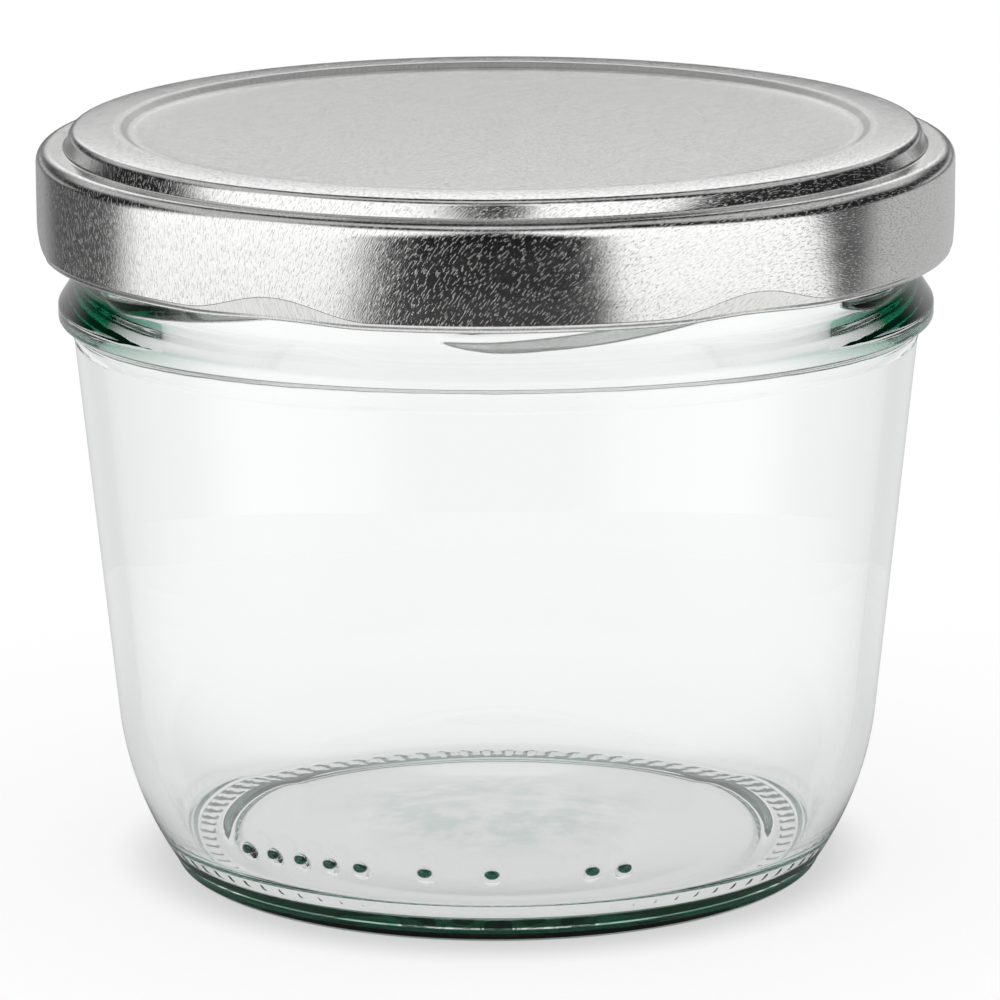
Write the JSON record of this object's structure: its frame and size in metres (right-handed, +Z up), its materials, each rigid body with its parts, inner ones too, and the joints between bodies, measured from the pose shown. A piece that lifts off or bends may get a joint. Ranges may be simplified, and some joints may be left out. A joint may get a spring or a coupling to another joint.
{
  "type": "canning jar",
  "caption": "Short tapered canning jar of green-tinted glass with a pressed six-lug metal lid that turns and lifts off, and the sealing ring inside it.",
  "frame": {"origin": "centre of the plane that the jar stands on, on the jar's axis", "axes": "+Z up along the jar's axis, +X to the right in the front view, +Y away from the front"},
  "size_m": [0.0854, 0.0854, 0.0703],
  "materials": {
    "jar_glass": "clear glass with a green tint where it is thick",
    "tinplate": "bare tinplate, satin with a fine mottled grain",
    "sealing_compound": "matte, off-white"
  },
  "bodies": {
    "jar": {"glass_jar": "jar_glass"},
    "seal": {"sealing_ring": "sealing_compound"},
    "lid": {"lid_shell": "tinplate"}
  },
  "joints": [
    {"name": "lid_lift", "type": "slide", "parent": "jar", "child": "seal", "axis": [0, 0, 1], "range_m": [0, 0.06]},
    {"name": "lid_turn", "type": "hinge", "parent": "seal", "child": "lid", "pos_m": [0, 0, 0.0589], "axis": [0, 0, 1], "range_deg": [0, 12]}
  ]
}
